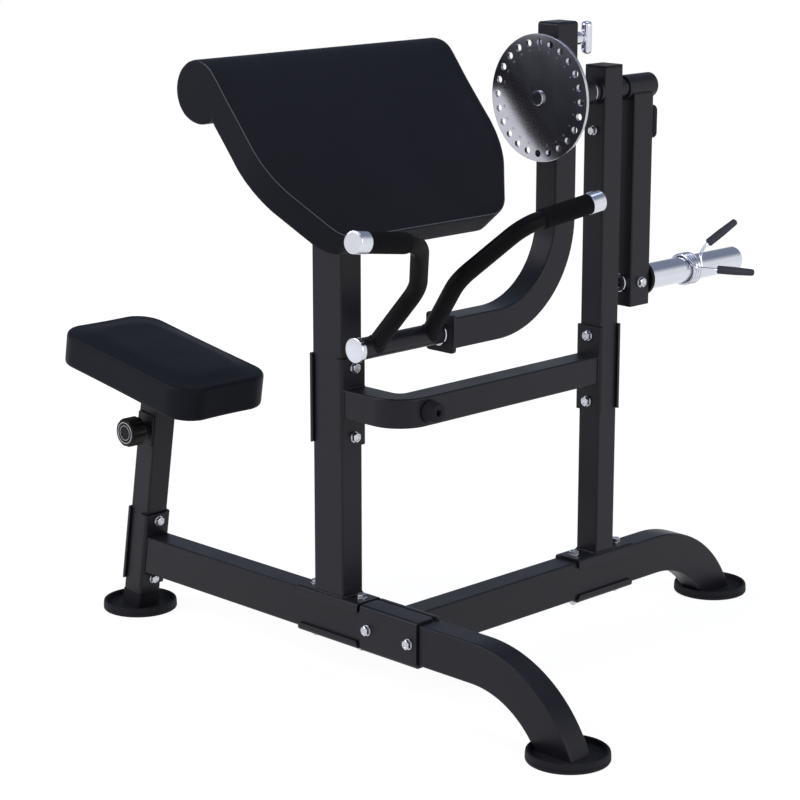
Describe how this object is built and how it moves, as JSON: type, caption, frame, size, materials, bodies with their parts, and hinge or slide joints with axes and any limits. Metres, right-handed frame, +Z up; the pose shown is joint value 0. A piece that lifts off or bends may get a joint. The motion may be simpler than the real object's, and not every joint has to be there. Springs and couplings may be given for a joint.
{
  "type": "preacher bench",
  "caption": "Plate-loaded preacher bench: sloped black arm pad, adjustable seat, J-shaped lever with bent handles, index disc and a weight peg on a black tube frame",
  "frame": {"origin": "middle of the bounding box's footprint, on the floor", "axes": "+Z up; +X from the seat towards the user's far side of the arm pad, where the curved front leg is; +Y along the side rail, away from the seat rail and towards the weight peg"},
  "size_m": [1.3106, 1.262, 1.176],
  "materials": {
    "black_paint": "fine-textured satin powder coat",
    "vinyl": "grained upholstery vinyl",
    "foam": "matte foam sleeve",
    "rubber": "matte moulded rubber",
    "plastic": "moulded, lightly textured",
    "chrome": "polished chrome plate",
    "polished_steel": "turned and polished steel",
    "plywood": "bare plywood, hidden in the cushions"
  },
  "bodies": {
    "frame": {"main_rail": "black_paint", "side_rail": "black_paint", "front_upright": "black_paint", "rear_upright": "black_paint", "rear_upright_plug": "plastic", "front_under_bracket": "black_paint", "rear_under_bracket": "black_paint", "rail_clamp_bracket": "black_paint", "cross_front_back_bracket": "black_paint", "cross_rear_back_bracket": "black_paint", "cross_member": "black_paint", "cross_bumper": "rubber", "front_upright_bolt_1": "chrome", "front_upright_bolt_2": "chrome", "rear_upright_bolt_1": "chrome", "rear_upright_bolt_2": "chrome", "junction_bolt_1": "chrome", "junction_bolt_2": "chrome", "cross_front_bolt_1": "chrome", "cross_front_bolt_2": "chrome", "cross_rear_bolt_1": "chrome", "cross_rear_bolt_2": "chrome", "front_foot": "rubber", "rear_foot": "rubber", "seat_foot": "rubber", "seat_post": "black_paint", "seat_post_back_bracket": "black_paint", "seat_post_bolt_1": "chrome", "seat_post_bolt_2": "chrome", "seat_pin_housing": "black_paint", "arm_pad": "vinyl", "arm_pad_board": "plywood", "front_bearing": "polished_steel", "rear_bearing": "polished_steel", "stop_bolt": "chrome"},
    "seat": {"seat_cushion": "vinyl", "seat_board": "plywood", "seat_inner_post": "polished_steel"},
    "seat_pin": {"seat_pin": "chrome", "seat_knob": "plastic"},
    "load_arm": {"main_shaft": "polished_steel", "index_disc": "polished_steel", "weight_arm": "black_paint", "arm_bumper": "rubber", "weight_peg": "chrome", "peg_flange": "plastic", "peg_bolt": "chrome"},
    "lever": {"lever": "black_paint", "pop_pin_barrel": "chrome", "handle_axle": "chrome", "axle_cap": "chrome"},
    "pop_pin": {"pop_pin": "chrome"},
    "handles": {"handle_bar": "black_paint", "left_grip": "foam", "right_grip": "foam", "left_grip_cap": "chrome", "right_grip_cap": "chrome"},
    "collar": {"spring_collar": "chrome", "collar_grip_upper": "plastic", "collar_grip_lower": "plastic"}
  },
  "joints": [
    {"name": "main_pivot", "type": "hinge", "parent": "frame", "child": "load_arm", "pos_m": [0.18375, 0.19697, 1.0426], "axis": [0, -1, 0], "range_deg": [0, 120]},
    {"name": "lever_set", "type": "hinge", "parent": "load_arm", "child": "lever", "pos_m": [0.18375, 0.19697, 1.0426], "axis": [0, -1, 0], "range_deg": [0, 45]},
    {"name": "pop_pin_slide", "type": "slide", "parent": "lever", "child": "pop_pin", "axis": [0, -1, 0], "range_m": [0, 0.0065]},
    {"name": "handle_swivel", "type": "hinge", "parent": "lever", "child": "handles", "pos_m": [0.18375, -0.32953, 0.6535], "axis": [0, -1, 0], "range_deg": [-105, 10]},
    {"name": "seat_height", "type": "slide", "parent": "frame", "child": "seat", "axis": [0.165, 0, 0.9863], "range_m": [0, 0.125]},
    {"name": "seat_pin_slide", "type": "slide", "parent": "frame", "child": "seat_pin", "axis": [0, 1, 0], "range_m": [0, 0.008]},
    {"name": "collar_slide", "type": "slide", "parent": "load_arm", "child": "collar", "axis": [0, 1, 0], "range_m": [-0.11, 0.12]}
  ]
}
